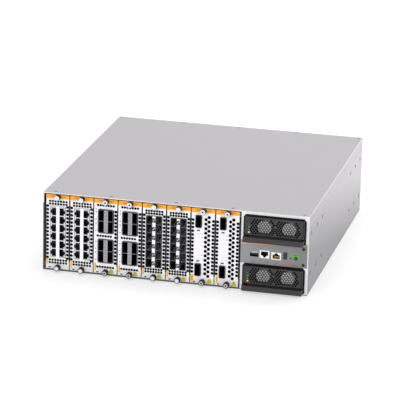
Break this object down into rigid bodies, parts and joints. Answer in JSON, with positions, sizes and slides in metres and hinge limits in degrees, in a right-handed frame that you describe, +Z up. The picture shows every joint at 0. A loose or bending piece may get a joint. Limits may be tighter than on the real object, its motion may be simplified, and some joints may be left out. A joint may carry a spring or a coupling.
{
  "type": "modular chassis switch",
  "caption": "Rack chassis with slide-in port modules on captive thumbscrews, slide-in power units with fans and pull handles, and a management panel between them.",
  "frame": {"origin": "middle of the case's underside, half-way between its front plane and its back", "axes": "+Z up, +Y from the front of the case to its back, +X to the right as seen from the front"},
  "size_m": [0.44, 0.487, 0.132],
  "materials": {
    "case_paint": "fine powder coat, satin",
    "frame_paint": "fine powder coat, satin",
    "module_paint": "smooth paint with orange and olive colour fields",
    "panel_paint": "satin paint with an orange line",
    "rail_steel": "plated",
    "screw_steel": "plated, turned",
    "guide_plastic": "moulded",
    "board_laminate": "solder mask",
    "jack_plastic": "moulded",
    "cage_plastic": "moulded",
    "bezel_plastic": "fine moulded texture",
    "housing_steel": "plated sheet",
    "fan_plastic": "moulded",
    "button_plastic": "moulded",
    "inlet_plastic": "moulded"
  },
  "bodies": {
    "case": {"chassis_tray": "case_paint", "top_cover": "case_paint", "power_bay_frame": "frame_paint", "rear_panel": "case_paint", "power_inlets": "inlet_plastic", "module_rails": "rail_steel", "slide_guides": "guide_plastic", "backplane": "board_laminate", "chassis_screws": "screw_steel", "management_panel": "panel_paint", "control_board": "board_laminate"},
    "push_button": {"push_button": "button_plastic"},
    "module_1": {"module_1_faceplate": "module_paint", "module_1_board": "board_laminate", "module_1_ports": "jack_plastic"},
    "module_1_bottom_screw": {"module_1_bottom_screw": "screw_steel"},
    "module_1_top_screw": {"module_1_top_screw": "screw_steel"},
    "module_2": {"module_2_faceplate": "module_paint", "module_2_board": "board_laminate", "module_2_ports": "jack_plastic"},
    "module_2_bottom_screw": {"module_2_bottom_screw": "screw_steel"},
    "module_2_top_screw": {"module_2_top_screw": "screw_steel"},
    "module_3": {"module_3_faceplate": "module_paint", "module_3_board": "board_laminate", "module_3_ports": "cage_plastic"},
    "module_3_bottom_screw": {"module_3_bottom_screw": "screw_steel"},
    "module_3_top_screw": {"module_3_top_screw": "screw_steel"},
    "module_4": {"module_4_faceplate": "module_paint", "module_4_board": "board_laminate", "module_4_ports": "cage_plastic"},
    "module_4_bottom_screw": {"module_4_bottom_screw": "screw_steel"},
    "module_4_top_screw": {"module_4_top_screw": "screw_steel"},
    "module_5": {"module_5_faceplate": "module_paint", "module_5_board": "board_laminate", "module_5_ports": "cage_plastic"},
    "module_5_bottom_screw": {"module_5_bottom_screw": "screw_steel"},
    "module_5_top_screw": {"module_5_top_screw": "screw_steel"},
    "module_6": {"module_6_faceplate": "module_paint", "module_6_board": "board_laminate", "module_6_ports": "cage_plastic"},
    "module_6_bottom_screw": {"module_6_bottom_screw": "screw_steel"},
    "module_6_top_screw": {"module_6_top_screw": "screw_steel"},
    "module_7": {"module_7_faceplate": "module_paint", "module_7_board": "board_laminate", "module_7_ports": "cage_plastic"},
    "module_7_bottom_screw": {"module_7_bottom_screw": "screw_steel"},
    "module_7_top_screw": {"module_7_top_screw": "screw_steel"},
    "module_8": {"module_8_faceplate": "module_paint", "module_8_board": "board_laminate", "module_8_ports": "cage_plastic"},
    "module_8_bottom_screw": {"module_8_bottom_screw": "screw_steel"},
    "module_8_top_screw": {"module_8_top_screw": "screw_steel"},
    "power_lower": {"power_lower_bezel": "bezel_plastic", "power_lower_housing": "housing_steel"},
    "power_lower_left_fan": {"power_lower_left_fan": "fan_plastic"},
    "power_lower_right_fan": {"power_lower_right_fan": "fan_plastic"},
    "power_upper": {"power_upper_bezel": "bezel_plastic", "power_upper_housing": "housing_steel"},
    "power_upper_left_fan": {"power_upper_left_fan": "fan_plastic"},
    "power_upper_right_fan": {"power_upper_right_fan": "fan_plastic"}
  },
  "joints": [
    {"name": "button_press", "type": "slide", "parent": "case", "child": "push_button", "axis": [0, 1, 0], "range_m": [0, 0.001], "stiffness_N_per_m": 150, "springref_m": -0.0005},
    {"name": "module_1_slide", "type": "slide", "parent": "case", "child": "module_1", "axis": [0, -1, 0], "range_m": [0, 0.18]},
    {"name": "module_1_bottom_screw_turn", "type": "hinge", "parent": "module_1", "child": "module_1_bottom_screw", "pos_m": [-0.19357, -0.2431, 0.0072], "axis": [0, -1, 0], "continuous": true},
    {"name": "module_1_top_screw_turn", "type": "hinge", "parent": "module_1", "child": "module_1_top_screw", "pos_m": [-0.19357, -0.2431, 0.1272], "axis": [0, -1, 0], "continuous": true},
    {"name": "module_2_slide", "type": "slide", "parent": "case", "child": "module_2", "axis": [0, -1, 0], "range_m": [0, 0.18]},
    {"name": "module_2_bottom_screw_turn", "type": "hinge", "parent": "module_2", "child": "module_2_bottom_screw", "pos_m": [-0.15321, -0.2431, 0.0072], "axis": [0, -1, 0], "continuous": true},
    {"name": "module_2_top_screw_turn", "type": "hinge", "parent": "module_2", "child": "module_2_top_screw", "pos_m": [-0.15321, -0.2431, 0.1272], "axis": [0, -1, 0], "continuous": true},
    {"name": "module_3_slide", "type": "slide", "parent": "case", "child": "module_3", "axis": [0, -1, 0], "range_m": [0, 0.18]},
    {"name": "module_3_bottom_screw_turn", "type": "hinge", "parent": "module_3", "child": "module_3_bottom_screw", "pos_m": [-0.11285, -0.2431, 0.0072], "axis": [0, -1, 0], "continuous": true},
    {"name": "module_3_top_screw_turn", "type": "hinge", "parent": "module_3", "child": "module_3_top_screw", "pos_m": [-0.11285, -0.2431, 0.1272], "axis": [0, -1, 0], "continuous": true},
    {"name": "module_4_slide", "type": "slide", "parent": "case", "child": "module_4", "axis": [0, -1, 0], "range_m": [0, 0.18]},
    {"name": "module_4_bottom_screw_turn", "type": "hinge", "parent": "module_4", "child": "module_4_bottom_screw", "pos_m": [-0.07249, -0.2431, 0.0072], "axis": [0, -1, 0], "continuous": true},
    {"name": "module_4_top_screw_turn", "type": "hinge", "parent": "module_4", "child": "module_4_top_screw", "pos_m": [-0.07249, -0.2431, 0.1272], "axis": [0, -1, 0], "continuous": true},
    {"name": "module_5_slide", "type": "slide", "parent": "case", "child": "module_5", "axis": [0, -1, 0], "range_m": [0, 0.18]},
    {"name": "module_5_bottom_screw_turn", "type": "hinge", "parent": "module_5", "child": "module_5_bottom_screw", "pos_m": [-0.03213, -0.2431, 0.0072], "axis": [0, -1, 0], "continuous": true},
    {"name": "module_5_top_screw_turn", "type": "hinge", "parent": "module_5", "child": "module_5_top_screw", "pos_m": [-0.03213, -0.2431, 0.1272], "axis": [0, -1, 0], "continuous": true},
    {"name": "module_6_slide", "type": "slide", "parent": "case", "child": "module_6", "axis": [0, -1, 0], "range_m": [0, 0.18]},
    {"name": "module_6_bottom_screw_turn", "type": "hinge", "parent": "module_6", "child": "module_6_bottom_screw", "pos_m": [0.00823, -0.2431, 0.0072], "axis": [0, -1, 0], "continuous": true},
    {"name": "module_6_top_screw_turn", "type": "hinge", "parent": "module_6", "child": "module_6_top_screw", "pos_m": [0.00823, -0.2431, 0.1272], "axis": [0, -1, 0], "continuous": true},
    {"name": "module_7_slide", "type": "slide", "parent": "case", "child": "module_7", "axis": [0, -1, 0], "range_m": [0, 0.18]},
    {"name": "module_7_bottom_screw_turn", "type": "hinge", "parent": "module_7", "child": "module_7_bottom_screw", "pos_m": [0.04859, -0.2431, 0.0072], "axis": [0, -1, 0], "continuous": true},
    {"name": "module_7_top_screw_turn", "type": "hinge", "parent": "module_7", "child": "module_7_top_screw", "pos_m": [0.04859, -0.2431, 0.1272], "axis": [0, -1, 0], "continuous": true},
    {"name": "module_8_slide", "type": "slide", "parent": "case", "child": "module_8", "axis": [0, -1, 0], "range_m": [0, 0.18]},
    {"name": "module_8_bottom_screw_turn", "type": "hinge", "parent": "module_8", "child": "module_8_bottom_screw", "pos_m": [0.08895, -0.2431, 0.0072], "axis": [0, -1, 0], "continuous": true},
    {"name": "module_8_top_screw_turn", "type": "hinge", "parent": "module_8", "child": "module_8_top_screw", "pos_m": [0.08895, -0.2431, 0.1272], "axis": [0, -1, 0], "continuous": true},
    {"name": "power_lower_slide", "type": "slide", "parent": "case", "child": "power_lower", "axis": [0, -1, 0], "range_m": [0, 0.18]},
    {"name": "power_lower_left_fan_spin", "type": "hinge", "parent": "power_lower", "child": "power_lower_left_fan", "pos_m": [0.1463, -0.2269, 0.0241], "axis": [0, -1, 0], "continuous": true},
    {"name": "power_lower_right_fan_spin", "type": "hinge", "parent": "power_lower", "child": "power_lower_right_fan", "pos_m": [0.1865, -0.2269, 0.0241], "axis": [0, -1, 0], "continuous": true},
    {"name": "power_upper_slide", "type": "slide", "parent": "case", "child": "power_upper", "axis": [0, -1, 0], "range_m": [0, 0.18]},
    {"name": "power_upper_left_fan_spin", "type": "hinge", "parent": "power_upper", "child": "power_upper_left_fan", "pos_m": [0.1463, -0.2269, 0.1061], "axis": [0, -1, 0], "continuous": true},
    {"name": "power_upper_right_fan_spin", "type": "hinge", "parent": "power_upper", "child": "power_upper_right_fan", "pos_m": [0.1865, -0.2269, 0.1061], "axis": [0, -1, 0], "continuous": true}
  ]
}
